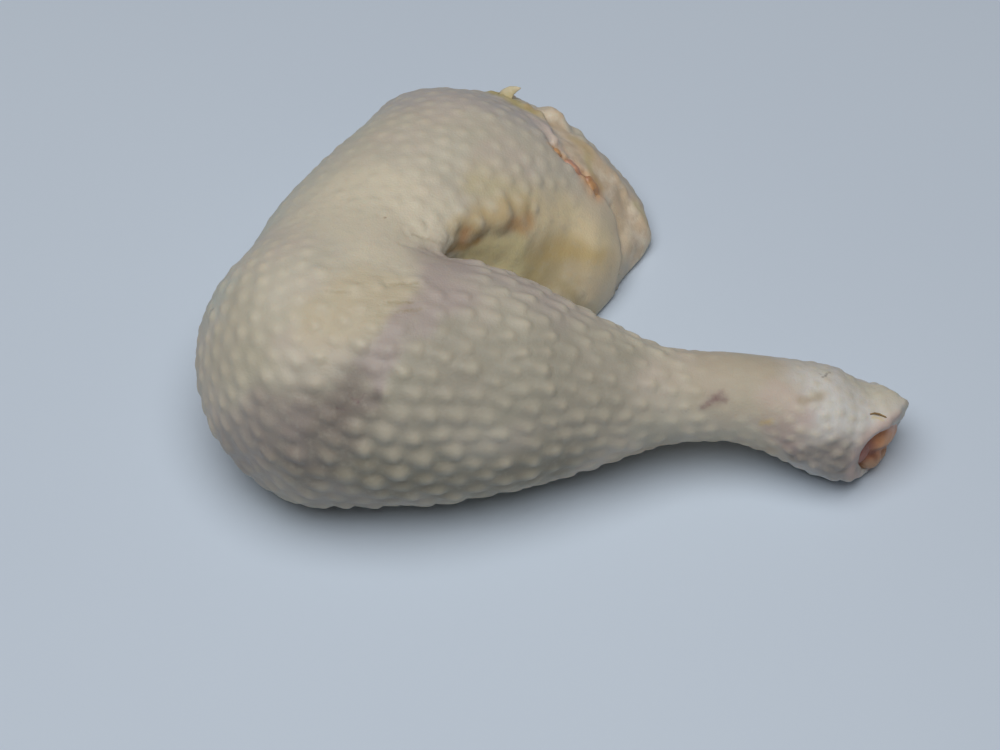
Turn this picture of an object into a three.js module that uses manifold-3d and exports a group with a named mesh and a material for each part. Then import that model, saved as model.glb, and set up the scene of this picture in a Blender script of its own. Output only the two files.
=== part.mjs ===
// A raw capon leg: thigh and drumstick in one piece, bent at the knee, lying on its inner side.
// Millimetres, +Z up, the drumstick along +X, the origin under the middle of the leg's box.
// The flesh is one body of two oval limbs and a few lumps that run into each other. It is flat where the
// leg lies, and a net of triangles covers it, with the follicles of the skin standing up as relief.
// The shank bone is a second piece: its two knuckles show in the cut hock.
import * as THREE from 'three';
import { mergeVertices } from 'three/addons/utils/BufferGeometryUtils.js';
import Module from 'manifold-3d';

// Driving dimensions. Places count from the outer skin of the knee, at the drumstick's axis, on the table.
const PLAN_CENTRE = [94.84, 39.72];
const CELL = 3.8;
const NET_LOW = [-7, -42, -4];
const NET_HIGH = [200, 136, 70];
const SLOPE_STEP = 0.38;
const PINCH_FILL = 0.2;
const FLAT_BELOW = 0.7;
const TINY = 1e-9;

// Each station of a limb: place along its axis, half width, half height, sway to the left, height of the
// axis. The near cap grows from the first station, and the far cap from a place of its own.
const DRUMSTICK = {
  start: [0, 0],
  heading: 0,
  nearCap: 29,
  farFrom: 180,
  farCap: 16,
  stations: [
    [33, 33.5, 33, 0, 30],
    [58, 34.3, 32.5, 0, 30],
    [86, 28, 27.5, 0, 26.8],
    [104, 20.5, 20.5, -0.5, 24.3],
    [124, 13.6, 13, -0.5, 22.2],
    [144, 12, 12, -0.8, 21.3],
    [168, 15.7, 15.6, -3.4, 14.2],
    [180, 13, 12.4, -4.5, 12.2],
  ],
};
const THIGH = {
  start: [37, 10],
  heading: 59,
  nearCap: 32,
  farFrom: 79,
  farCap: 34,
  stations: [
    [0, 35, 29, 2, 27],
    [32, 35.5, 29, 6, 26],
    [60, 33.5, 27.6, 7, 25],
    [84, 34, 24, 7, 23],
    [108, 34, 18, 4, 20],
  ],
};
const HIP_FLAP = { centre: [94.5, 70, 2], heading: 72, halfSize: [34.5, 28.5, 25] };
const FLAP_DISH = { centre: [122, 66, 27], heading: 66, halfSize: [20, 8, 14] };
const CROOK_HOLLOW = { centre: [82, 32, 34.5], heading: 21, halfSize: [22, 9.5, 17] };
// The flap ends towards the crook in a straight edge: a point on it in plan, and the way it faces
const FLAP_EDGE_POINT = [116, 57.4];
const FLAP_EDGE_OUT = [0.839, -0.544];
const EDGE_BLEND = 6;
const FLAP_BLEND = 12;
const DISH_BLEND = 8;
const HOLLOW_BLEND = 5;
const FLOOR_BLEND = 3;
// Thigh and drumstick run softly together at the knee and meet in a sharp crease in the crook
const KNEE_BLEND = 16;
const CREASE_BLEND = 3;
const CREASE_FROM = 45;
const CREASE_TO = 66;

// A shallow valley of thin skin runs from the crease across the outside of the knee
const VALLEY_FROM = [66, 22, 52];
const VALLEY_TO = [18, -24, 24];
const VALLEY_WIDTH = 8;
const VALLEY_DEPTH = 1.4;
const SWELL_HEIGHT = 0.35;
const SWELL_SPAN = 9;
const SWELL_WAYS = [
  [1, 0.7, 0],
  [-0.4, 0, 0.8],
  [0, 0.9, -1.1],
];

// The hock is sawn off on a slant, and the knuckles sit back in a recess behind a rim of skin
const CUT_POINT = [183.2, -7, 12.5];
const CUT_NORMAL = new THREE.Vector3(0.82, -0.56, 0.1).normalize();
const KNUCKLE_LINE = new THREE.Vector3(0.43, 0.72, 0.53).normalize();
const SAW_SIZE = [30, 60, 60];
const RECESS_RADII = [6, 10.5, 9.4];
const ROUND_SIDES = 16;
const ROUND_RINGS = 10;

// Follicles: how high the bumps stand, how far apart, and where the skin stays smooth
const BUMP_HEIGHT = 0.9;
const BUMP_SPACING = 6.2;
const BUMP_LOWEST = 5;
const BUMP_UNTIL = 172;
const SMOOTH_PLACES = [
  { centre: [86, 42, 30], reach: 20 },
  { centre: [108, 64, 14], reach: 24 },
  { centre: [46, 30, 56], reach: 17 },
];

// The shank bone, from its head in the knee to its knuckles in the hock
const BONE_HEAD = new THREE.Vector3(46, 0, 29.5);
const BONE_FOOT = new THREE.Vector3(179, -4.7, 12.2);
const BONE_PROFILE = [
  [0, 0],
  [6, 1],
  [7.5, 6],
  [4.6, 20],
  [3.8, 52],
  [4.2, 96],
  [6.2, 122],
];
const KNUCKLE_RADII = [5.6, 7.4, 6.2];
const KNUCKLE_OFFSET = 4.2;
const BONE_GAP = 0.35;

const SKIN = { color: 0xd6ccb2, roughness: 0.5, metalness: 0 };
const BONE = { color: 0xcf8f6c, roughness: 0.4, metalness: 0 };

const wasm = await Module();
wasm.setup();

function smoothStep(low, high, value) {
  const share = Math.min(Math.max((value - low) / (high - low), 0), 1);
  return share * share * (3 - 2 * share);
}

// The lower of two fields, rounded over where they are closer than the reach
function join(a, b, reach) {
  const near = Math.max(reach - Math.abs(a - b), 0) / reach;
  return Math.min(a, b) - (near * near * reach) / 4;
}

function carve(a, b, reach) {
  return -join(-a, b, reach);
}

// A smooth curve through one column of a limb's stations
function along(stations, column, place) {
  const last = stations.length - 1;
  const at = Math.min(Math.max(place, stations[0][0]), stations[last][0]);
  let low = 0;
  while (low < last - 1 && at > stations[low + 1][0]) low += 1;
  const slope = (i) => {
    if (i === 0 || i === last) return 0;
    return (stations[i + 1][column] - stations[i - 1][column]) / (stations[i + 1][0] - stations[i - 1][0]);
  };
  const span = stations[low + 1][0] - stations[low][0];
  const t = (at - stations[low][0]) / span;
  const rest = 1 - t;
  const from = (1 + 2 * t) * rest * rest * stations[low][column] + t * rest * rest * span * slope(low);
  const to = t * t * (3 - 2 * t) * stations[low + 1][column] - t * t * rest * span * slope(low + 1);
  return from + to;
}

// Distance to an oval, from offsets measured in its half sizes
function ovalDistance(offsets, halfSizes) {
  let squares = 0;
  let steepness = 0;
  offsets.forEach((offset, k) => {
    squares += (offset / halfSizes[k]) ** 2;
    steepness += (offset / halfSizes[k] ** 2) ** 2;
  });
  const size = Math.sqrt(squares) + TINY;
  return ((size - 1) * size) / (Math.sqrt(steepness) + TINY);
}

// A level tube of oval section with a rounded cap at each end
function limb(point, shape) {
  const angle = THREE.MathUtils.degToRad(shape.heading);
  const dx = point[0] - shape.start[0];
  const dy = point[1] - shape.start[1];
  const place = dx * Math.cos(angle) + dy * Math.sin(angle);
  const left = dy * Math.cos(angle) - dx * Math.sin(angle);
  const stations = shape.stations;
  const before = Math.max(stations[0][0] - place, 0);
  const beyond = Math.max(place - shape.farFrom, 0);
  const [halfWidth, halfHeight, sway, height] = [1, 2, 3, 4].map((column) => along(stations, column, place));
  return ovalDistance(
    [left - sway, point[2] - height, before, beyond],
    [halfWidth, halfHeight, shape.nearCap, shape.farCap],
  );
}

function lump(point, shape) {
  const angle = THREE.MathUtils.degToRad(shape.heading);
  const dx = point[0] - shape.centre[0];
  const dy = point[1] - shape.centre[1];
  const forward = dx * Math.cos(angle) + dy * Math.sin(angle);
  const left = dy * Math.cos(angle) - dx * Math.sin(angle);
  return ovalDistance([forward, left, point[2] - shape.centre[2]], shape.halfSize);
}

function distanceBetween(a, b) {
  return Math.hypot(a[0] - b[0], a[1] - b[1], a[2] - b[2]);
}

// How deep the valley of thin skin lies at a point
function valley(point) {
  const line = VALLEY_TO.map((value, k) => value - VALLEY_FROM[k]);
  const ahead = point.map((value, k) => value - VALLEY_FROM[k]);
  const length = Math.hypot(...line);
  const share = line.reduce((sum, value, k) => sum + value * ahead[k], 0) / (length * length);
  const held = Math.min(Math.max(share, 0), 1);
  const nearest = line.map((value, k) => VALLEY_FROM[k] + value * held);
  return VALLEY_DEPTH * Math.exp(-((distanceBetween(point, nearest) / VALLEY_WIDTH) ** 2));
}

// Gentle swells, so that no stretch of the flesh is a perfect oval
function swell(point) {
  const [first, second, third] = SWELL_WAYS.map((way) => {
    return way.reduce((sum, share, k) => sum + share * point[k], 0) / SWELL_SPAN;
  });
  return SWELL_HEIGHT * (Math.sin(first) * Math.cos(second) + Math.sin(third));
}

function beyondFlapEdge(point) {
  return FLAP_EDGE_OUT.reduce((sum, out, k) => sum + out * (FLAP_EDGE_POINT[k] - point[k]), 0);
}

function thighField(point) {
  const dished = carve(lump(point, HIP_FLAP), lump(point, FLAP_DISH), DISH_BLEND);
  const flap = carve(dished, beyondFlapEdge(point), EDGE_BLEND);
  const body = join(limb(point, THIGH), flap, FLAP_BLEND);
  return carve(body, lump(point, CROOK_HOLLOW), HOLLOW_BLEND);
}

function legField(point) {
  const share = smoothStep(CREASE_FROM, CREASE_TO, point[0]);
  const reach = KNEE_BLEND + (CREASE_BLEND - KNEE_BLEND) * share;
  const flesh = join(limb(point, DRUMSTICK), thighField(point), reach);
  return carve(flesh + valley(point) - swell(point), point[2], FLOOR_BLEND);
}

function gradient(field, point) {
  const slopes = point.map((value, k) => {
    const ahead = point.slice();
    const behind = point.slice();
    ahead[k] += SLOPE_STEP;
    behind[k] -= SLOPE_STEP;
    return (field(ahead) - field(behind)) / (2 * SLOPE_STEP);
  });
  return new THREE.Vector3(...slopes);
}

// Field values at the corners of a grid of cells
function sampleGrid(field) {
  const count = NET_LOW.map((low, k) => Math.ceil((NET_HIGH[k] - low) / CELL) + 1);
  const stride = [1, count[0], count[0] * count[1]];
  const values = new Float32Array(count[0] * count[1] * count[2]);
  const stepsTo = (index, axis) => Math.floor(index / stride[axis]) % count[axis];
  const cornerAt = (index) => NET_LOW.map((low, axis) => low + CELL * stepsTo(index, axis));
  const hasNext = (index, axis) => stepsTo(index, axis) < count[axis] - 1;
  values.forEach((_, index) => {
    values[index] = field(cornerAt(index));
  });
  return { values, stride, cornerAt, hasNext };
}

// Where a face has its inside corners on one diagonal, its corner nearest to the surface is taken in,
// so that the net never touches itself along an edge
function fillPinches({ values, stride, hasNext }) {
  let filled = true;
  while (filled) {
    filled = false;
    for (let index = 0; index < values.length; index += 1) {
      for (const [b, c] of [[0, 1], [1, 2], [2, 0]]) {
        if (!hasNext(index, b) || !hasNext(index, c)) continue;
        const face = [index, index + stride[b], index + stride[b] + stride[c], index + stride[c]];
        const inside = face.map((corner) => values[corner] < 0);
        if (inside[0] !== inside[2] || inside[1] !== inside[3] || inside[0] === inside[1]) continue;
        const open = face.filter((corner) => values[corner] >= 0);
        const nearest = values[open[0]] < values[open[1]] ? open[0] : open[1];
        values[nearest] = -PINCH_FILL;
        filled = true;
      }
    }
  }
}

// One knot in each cell that the surface crosses, at the middle of its crossings
function netKnots({ values, stride, cornerAt, hasNext }) {
  const knots = [];
  const knotOf = new Map();
  for (let index = 0; index < values.length; index += 1) {
    if (![0, 1, 2].every((axis) => hasNext(index, axis))) continue;
    const sum = new THREE.Vector3();
    let crossings = 0;
    for (let axis = 0; axis < 3; axis += 1) {
      const [b, c] = [stride[(axis + 1) % 3], stride[(axis + 2) % 3]];
      for (const offset of [0, b, c, b + c]) {
        const near = values[index + offset];
        const far = values[index + offset + stride[axis]];
        if (near < 0 === far < 0) continue;
        const corner = cornerAt(index + offset);
        corner[axis] += (CELL * near) / (near - far);
        sum.add(new THREE.Vector3(...corner));
        crossings += 1;
      }
    }
    if (crossings === 0) continue;
    knotOf.set(index, knots.length);
    knots.push(sum.divideScalar(crossings));
  }
  return { knots, knotOf };
}

// Two triangles across each edge of the grid that the surface crosses, split along the shorter diagonal
function netTriangles({ values, stride, hasNext }, { knots, knotOf }) {
  const triangles = [];
  for (let index = 0; index < values.length; index += 1) {
    for (let axis = 0; axis < 3; axis += 1) {
      if (!hasNext(index, axis)) continue;
      const near = values[index];
      const far = values[index + stride[axis]];
      if (near < 0 === far < 0) continue;
      const [b, c] = [stride[(axis + 1) % 3], stride[(axis + 2) % 3]];
      const ring = [index - b - c, index - c, index, index - b].map((cell) => knotOf.get(cell));
      if (far < 0) ring.reverse();
      const acrossFirst = knots[ring[0]].distanceTo(knots[ring[2]]);
      const acrossSecond = knots[ring[1]].distanceTo(knots[ring[3]]);
      const [p, q, r, s] = acrossFirst < acrossSecond ? ring : [ring[1], ring[2], ring[3], ring[0]];
      triangles.push(p, q, r, p, r, s);
    }
  }
  return triangles;
}

function isBumpy(knot) {
  const place = knot.toArray();
  const smooth = SMOOTH_PLACES.some((spot) => distanceBetween(place, spot.centre) < spot.reach);
  return !smooth && knot.z > BUMP_LOWEST && knot.x < BUMP_UNTIL;
}

// Lifts knots that are at least a spacing apart, as follicles stand in plucked skin
function raiseBumps(knots) {
  const tips = [];
  for (const knot of knots) {
    if (!isBumpy(knot) || tips.some((tip) => tip.distanceTo(knot) < BUMP_SPACING)) continue;
    tips.push(knot);
  }
  const lifts = tips.map((tip) => gradient(legField, tip.toArray()).setLength(BUMP_HEIGHT));
  tips.forEach((tip, k) => tip.add(lifts[k]));
}

function solid(knots, triangles) {
  const mesh = new wasm.Mesh({
    numProp: 3,
    vertProperties: new Float32Array(knots.flatMap((knot) => knot.toArray())),
    triVerts: new Uint32Array(triangles),
  });
  return new wasm.Manifold(mesh);
}

function solidOf(geometry) {
  geometry.deleteAttribute('normal');
  geometry.deleteAttribute('uv');
  const merged = mergeVertices(geometry);
  const place = merged.getAttribute('position');
  const knots = [];
  for (let k = 0; k < place.count; k += 1) {
    knots.push(new THREE.Vector3().fromBufferAttribute(place, k));
  }
  const triangles = [];
  for (let k = 0; k < merged.index.count; k += 3) {
    const corners = [0, 1, 2].map((step) => merged.index.getX(k + step));
    if (new Set(corners).size === 3) triangles.push(...corners);
  }
  return solid(knots, triangles);
}

function fleshSolid() {
  const grid = sampleGrid(legField);
  fillPinches(grid);
  const net = netKnots(grid);
  const triangles = netTriangles(grid, net);
  raiseBumps(net.knots);
  for (const knot of net.knots) {
    if (knot.z < FLAT_BELOW) knot.z = 0;
  }
  return solid(net.knots, triangles);
}

function facing(direction) {
  return new THREE.Quaternion().setFromUnitVectors(new THREE.Vector3(1, 0, 0), direction);
}

// An oval whose first radius lies along the normal of the cut
function ovalSolid(centre, radii) {
  const oval = new THREE.SphereGeometry(1, ROUND_SIDES, ROUND_RINGS);
  oval.scale(...radii).applyQuaternion(facing(CUT_NORMAL)).translate(...centre.toArray());
  return solidOf(oval);
}

// The end of the hock that the saw takes away, with the dish behind the skin's rim
function sawnAway() {
  const centre = new THREE.Vector3(...CUT_POINT);
  const block = new THREE.BoxGeometry(...SAW_SIZE).translate(SAW_SIZE[0] / 2, 0, 0);
  block.applyQuaternion(facing(CUT_NORMAL)).translate(...CUT_POINT);
  return solidOf(block).add(ovalSolid(centre, RECESS_RADII));
}

// The bone lies along the drumstick, grown by a gap where it is used to clear its seat in the flesh
function boneSolid(gap) {
  const length = BONE_HEAD.distanceTo(BONE_FOOT);
  const profile = BONE_PROFILE.map(([radius, place]) => {
    return new THREE.Vector2(radius === 0 ? 0 : radius + gap, place - (place === 0 ? gap : 0));
  });
  profile.push(new THREE.Vector2(0, length));
  const axis = BONE_FOOT.clone().sub(BONE_HEAD).normalize();
  const turn = new THREE.Quaternion().setFromUnitVectors(new THREE.Vector3(0, 1, 0), axis);
  const shaft = new THREE.LatheGeometry(profile, ROUND_SIDES).applyQuaternion(turn);
  shaft.translate(...BONE_HEAD.toArray());
  const radii = KNUCKLE_RADII.map((radius) => radius + gap);
  const knuckles = [-KNUCKLE_OFFSET, KNUCKLE_OFFSET].map((step) => {
    return ovalSolid(BONE_FOOT.clone().addScaledVector(KNUCKLE_LINE, step), radii);
  });
  return knuckles.reduce((whole, knuckle) => whole.add(knuckle), solidOf(shaft));
}

function meshFrom(name, body, look) {
  const { vertProperties, triVerts } = body.getMesh();
  const geometry = new THREE.BufferGeometry();
  geometry.setAttribute('position', new THREE.BufferAttribute(new Float32Array(vertProperties), 3));
  geometry.setIndex(new THREE.BufferAttribute(new Uint32Array(triVerts), 1));
  geometry.computeVertexNormals();
  const mesh = new THREE.Mesh(geometry, new THREE.MeshStandardMaterial(look));
  mesh.name = name;
  return mesh;
}

const leg = new THREE.Group();
leg.add(meshFrom('leg', fleshSolid().subtract(sawnAway()).subtract(boneSolid(BONE_GAP)), SKIN));
leg.add(meshFrom('shank_bone', boneSolid(0), BONE));
leg.position.set(-PLAN_CENTRE[0], -PLAN_CENTRE[1], 0);

export default leg;
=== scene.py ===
"""A raw capon leg, thigh and drumstick, lying on its inner side on a pale table.

The flesh is the same body of two oval limbs and a few lumps as in the solid model, covered by a fine net.
Follicles, wrinkles and folds are raised on that net, and the colours of the skin follow named places on it.
"""

import bpy
import numpy as np
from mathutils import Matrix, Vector, kdtree


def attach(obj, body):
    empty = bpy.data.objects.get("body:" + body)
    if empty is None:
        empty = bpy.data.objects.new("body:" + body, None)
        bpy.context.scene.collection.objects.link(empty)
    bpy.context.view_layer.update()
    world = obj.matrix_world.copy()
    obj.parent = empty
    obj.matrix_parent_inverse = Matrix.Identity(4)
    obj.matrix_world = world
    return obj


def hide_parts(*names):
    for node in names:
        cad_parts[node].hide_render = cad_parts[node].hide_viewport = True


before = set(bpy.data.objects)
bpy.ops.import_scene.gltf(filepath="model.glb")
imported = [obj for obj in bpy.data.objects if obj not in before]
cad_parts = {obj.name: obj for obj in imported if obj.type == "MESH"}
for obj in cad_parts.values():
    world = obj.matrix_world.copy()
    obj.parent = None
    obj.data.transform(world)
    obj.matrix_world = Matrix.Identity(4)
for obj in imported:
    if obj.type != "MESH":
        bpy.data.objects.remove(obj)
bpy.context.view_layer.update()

# Driving dimensions in millimetres. Places count from the outer skin of the knee, at the drumstick's
# axis, on the table, with x along the drumstick and y towards the hip.
MM = 0.001
PLAN_CENTRE = np.array([94.84, 39.72, 0.0])
# Seeds of the random draws
FOLLICLE_SEED = 41
WARP_SEED = 41
CRINKLE_SEED = 51
KNUCKLE_SEED = 61
MEAT_SEED = 71
UNEVEN_SEED = 81

# Each station of a limb: place along its axis, half width, half height, sway to the left, height of the
# axis. The near cap grows from the first station, and the far cap from a place of its own.
DRUMSTICK = {
    "start": (0, 0),
    "heading": 0,
    "near_cap": 29,
    "far_from": 180,
    "far_cap": 16,
    "stations": np.array([
        [33, 33.5, 33, 0, 30],
        [58, 34.3, 32.5, 0, 30],
        [86, 28, 27.5, 0, 26.8],
        [104, 20.5, 20.5, -0.5, 24.3],
        [124, 13.6, 13, -0.5, 22.2],
        [144, 12, 12, -0.8, 21.3],
        [168, 15.7, 15.6, -3.4, 14.2],
        [180, 13, 12.4, -4.5, 12.2],
    ]),
}
THIGH = {
    "start": (37, 10),
    "heading": 59,
    "near_cap": 32,
    "far_from": 79,
    "far_cap": 34,
    "stations": np.array([
        [0, 35, 29, 2, 27],
        [32, 35.5, 29, 6, 26],
        [60, 33.5, 27.6, 7, 25],
        [84, 34, 24, 7, 23],
        [108, 34, 18, 4, 20],
    ]),
}
HIP_FLAP = {"centre": (94.5, 70, 2), "heading": 72, "half_size": (34.5, 28.5, 25)}
FLAP_DISH = {"centre": (122, 66, 27), "heading": 66, "half_size": (20, 8, 14)}
CROOK_HOLLOW = {"centre": (82, 32, 34.5), "heading": 21, "half_size": (22, 9.5, 17)}
FLAP_EDGE_POINT = np.array([116.0, 57.4])
FLAP_EDGE_OUT = np.array([0.839, -0.544])
EDGE_BLEND = 6
FLAP_BLEND = 12
DISH_BLEND = 8
HOLLOW_BLEND = 8
FLOOR_BLEND = 3
# Thigh and drumstick run softly together at the knee and meet in a sharp crease in the crook
KNEE_BLEND = 16
CREASE_BLEND = 1.2
CREASE_FROM = 45
CREASE_TO = 66

# A shallow valley of thin skin runs from the crease across the outside of the knee
VALLEY_FROM = np.array([66.0, 22.0, 52.0])
VALLEY_TO = np.array([18.0, -24.0, 24.0])
VALLEY_WIDTH = 8
VALLEY_DEPTH = 1.4
# Gentle swells run along three directions, so that no stretch of the flesh is a perfect oval
SWELL_HEIGHT = 0.35
SWELL_SPAN = 9
SWELL_ALONG = np.array([1.0, 0.7, 0.0])
SWELL_UP = np.array([-0.4, 0.0, 0.8])
SWELL_ACROSS = np.array([0.0, 0.9, -1.1])

# The hock is sawn off on a slant, and the knuckles sit back in a recess behind a rim of skin
CUT_POINT = np.array([182.0, -6.2, 12.4])
CUT_NORMAL = np.array([0.82, -0.56, 0.1])
KNUCKLE_LINE = np.array([0.43, 0.72, 0.53])
RECESS_CENTRE = np.array([0.0, -0.9, 0.7])
RECESS_RADII = np.array([6.0, 9.3, 10.3])
RIM_BLEND = 0.8
# The rim stands out towards the upper knuckle and ends in a tongue of skin: how far, and over which
# stretches along the knuckles and across them
TONGUE_LENGTH = 4.5
TONGUE_ALONG = (-10.0, 7.0)
TONGUE_ACROSS = (-7.0, 3.0)
# Behind the tongue the end slopes away
TIP_POINT = np.array([182.1, 2.4, 23.4])
TIP_NORMAL = np.array([0.573, 0.569, 0.589])
TIP_BLEND = 1.4

# The fine net over the flesh
NET_LOW = np.array([-7.0, -42.0, -4.0])
NET_HIGH = np.array([200.0, 136.0, 70.0])
SKIN_CELL = 0.86
SLOPE_STEP = 0.2
SETTLE_ROUNDS = 4
EVEN_ROUNDS = 3
FLAT_BELOW = 0.25
WAVE_COUNT = 14
WAVE_PITCH = 2
CELL_CORNERS = 8
MIDDLE = 0.5
TINY = 1e-9
TOUCHING = 1e-6

# Follicles by region: a place, how far apart they stand along and across the lie of the feathers,
# how high they are, the length of tail and tip, and their half width
FOLLICLE_REGIONS = {
    "calf_top": ((84, -8, 50), 7.2, 4.8, 0.8, 4.8, 1.6, 1.7),
    "calf_front": ((52, -33, 30), 7.6, 6.0, 1.15, 3.4, 1.9, 2.2),
    "calf_low": ((64, -31, 16), 8.0, 4.6, 0.95, 4.8, 1.8, 1.6),
    "calf_end": ((98, -12, 34), 6.6, 4.4, 0.75, 4.2, 1.5, 1.6),
    "knee": ((8, -4, 38), 5.8, 4.8, 0.5, 2.4, 1.6, 1.6),
    "knee_low": ((14, -24, 20), 7.2, 4.6, 0.75, 4.4, 1.7, 1.5),
    "thigh_outer": ((18, 46, 44), 5.2, 4.6, 0.2, 1.6, 1.3, 1.3),
    "thigh_top": ((75, 68, 46), 5.4, 5.0, 0.4, 2.0, 1.5, 1.6),
    "thigh_end": ((45, 100, 34), 5.2, 4.8, 0.25, 1.6, 1.3, 1.3),
    "shank": ((122, -3, 32), 5.6, 3.9, 0.55, 3.4, 1.3, 1.4),
    "shank_low": ((136, -10, 16), 4.8, 3.4, 0.45, 2.6, 1.2, 1.3),
    "ankle": ((148, -2, 31), 4.2, 3.3, 0.1, 1.8, 1.1, 1.2),
    "hock_top": ((170, -2, 28), 3.4, 2.8, 0.26, 1.5, 1.2, 1.2),
    "hock": ((168, -16, 14), 3.6, 2.7, 0.75, 1.8, 1.2, 1.2),
}
REGION_SHARPNESS = 4
FOLLICLE_TRIES = 9000
RELAX_ROUNDS = 30
RELAX_STEP = 0.35
RELAX_SETTLES = 2
FOLLICLE_LOWEST = (2.0, 7.0)
# Gaps between follicles, in spacings: the least when they are scattered, and the one they are pushed to
SCATTER_GAP = 0.8
EVEN_GAP = 1.15
# How much follicles differ in size and in strength, and their limits
SIZE_SPREAD = 0.1
SIZE_LIMITS = (0.7, 1.3)
STRENGTH_SPREAD = 0.2
STRENGTH_LIMITS = (0.5, 1.5)
TAIL_REACH = 2
FOLLICLE_SWING = 0.22
FOLLICLE_ROUND = 1.25
HEAD_LENGTH = 1.25
# The feathers lie towards the hock on the drumstick, downwards round the knee, and towards the knee on the
# thigh
LIE_AT = {
    "drumstick": ((100, 0, 40), (1.0, -0.1, -0.1)),
    "calf_front": ((55, -34, 25), (1.0, -0.1, -0.25)),
    "knee": ((6, -6, 36), (0.8, -0.5, -0.5)),
    "knee_low": ((14, -24, 20), (0.9, -0.4, -0.7)),
    "thigh_outer": ((15, 50, 40), (0.4, -0.8, -0.2)),
    "thigh_top": ((75, 65, 45), (0.9, -0.5, -0.1)),
}

# Where the skin lies smooth over fat, in the hollow of the crook, over the hip and round the cut: a place,
# its reach, and how smooth it is. It is smooth to an inner share of the reach and fades to an outer one.
SMOOTH_INNER = 0.6
SMOOTH_OUTER = 1.3
SMOOTH_PLACES = [
    ((48, 20, 60), 17, 0.9),
    ((55, -4, 62), 8, 0.75),
    ((42, -24, 53), 8, 0.6),
    ((67, 12, 57), 9, 0.9),
    ((78, 40, 34), 9, 1.0),
    ((86, 42, 26), 14, 1.0),
    ((98, 52, 26), 12, 0.9),
    ((112, 62, 12), 21, 1.0),
    ((108, 79, 26), 10, 1.0),
    ((98, 90, 33), 6, 1.0),
    ((146, -2, 31), 12, 0.7),
    ((184, -5, 13), 7, 1.0),
    ((166, -16, 14), 9, 0.6),
    ((178.5, -13.5, 19.5), 3.5, 1.0),
    ((175.3, -17.3, 16.5), 3.5, 1.0),
    ((176.3, -17.2, 11), 3.5, 1.0),
]

# Folds, slits and rims: the line that each follows, its half width, and its height, below zero for a groove
RELIEF_LINES = {
    "crook_fold": ([
        (66, 32.5, 42.5), (71.4, 36.8, 43), (77.8, 41, 39.2), (84, 44.4, 37.2), (88, 49, 36.6),
    ], 2.2, -0.4),
    "fold_lip": ([(70.6, 38.5, 48), (77, 41.8, 44), (83.3, 46.5, 41), (87.4, 53, 40.4)], 2.8, 0.5),
    "hip_slit": ([
        (94.7, 79.2, 39), (96.4, 76.4, 38.2), (99.8, 74.6, 35.3), (104.1, 73.6, 31), (107.9, 70.6, 26.8),
    ], 1.3, -2.0),
    "slit_mouth": ([(104.8, 72.9, 30.4), (107, 71.3, 27.8)], 2.0, -0.9),
    "membrane_lobe": ([(94.4, 100.7, 29.4), (96.8, 98.9, 29)], 2.8, 2.8),
    "membrane_dip": ([(102.5, 95.2, 27), (105.5, 93.5, 24.5)], 3.0, -0.6),
    "flap_rim": ([(112, 83.4, 20.8), (116.3, 80.6, 17.4), (119.8, 77.2, 12.6), (122.2, 73.5, 8)], 1.7, 0.8),
    "flap_recess": ([(113.6, 70.6, 19.4), (115, 68, 16), (116, 63.3, 12.6)], 2.4, -0.9),
    "hip_crest": ([
        (77.7, 106.5, 31.4), (81.7, 102.2, 33.5), (86.4, 97.5, 34.8), (90.9, 93.7, 34.8),
    ], 1.5, 0.7),
    "vein_branch": ([(39, -26.7, 49.2), (42, -26.5, 50), (45, -25.2, 52)], 0.9, -0.3),
    "crease_low": ([(54, 21.6, 57.6), (58.9, 24, 53.9), (65.3, 28.1, 48.3)], 0.8, -0.5),
    "crease_mid": ([(54.9, 28.3, 55.2), (61.4, 29.3, 51.4), (65.8, 29.9, 48.4)], 0.8, -0.5),
    "crease_high": ([(59.2, 34, 53), (63.5, 32.2, 51), (66.6, 31.4, 48.3)], 0.8, -0.45),
    "wrinkle_mid": ([(48.6, -4.4, 63.2), (53.1, -3.3, 62.8), (57.6, -2.7, 62.1)], 0.9, -0.55),
    "wrinkle_high": ([(47.9, 1.4, 63.7), (53.2, 2.9, 62.7), (59, 4.2, 61.6)], 0.9, -0.55),
    "wrinkle_left": ([(34.2, -0.3, 63.7), (38.8, -1.1, 63.8), (43.4, -1.2, 63.8)], 0.8, -0.25),
    "wrinkle_low": ([(50.7, -7.2, 62.5), (55.2, -5.9, 62.3), (59.7, -4.6, 61.6)], 0.9, -0.55),
    "wrinkle_back": ([(40.4, 3.5, 64), (44.3, 2.8, 63.9), (47.8, 3.1, 63.6)], 0.7, -0.25),
}
# The skin ends along this line at the hip. The membrane beyond it lies lower by a soft step, and the step
# fades again further out.
SKIN_EDGE = [
    (78, 120, 2), (82, 113, 18), (87, 105, 28), (92, 96, 33), (94.9, 87.6, 35.6), (96.4, 77, 38),
    (102.1, 74, 33.1), (106.4, 72.1, 28.6), (111.4, 70, 22.5), (115, 65.1, 14.9), (114.3, 57, 6),
    (113, 51, -4),
]
EDGE_DROP = 1.1
EDGE_SOFT = 1.2
EDGE_REACH = (8.0, 16.0)

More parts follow.
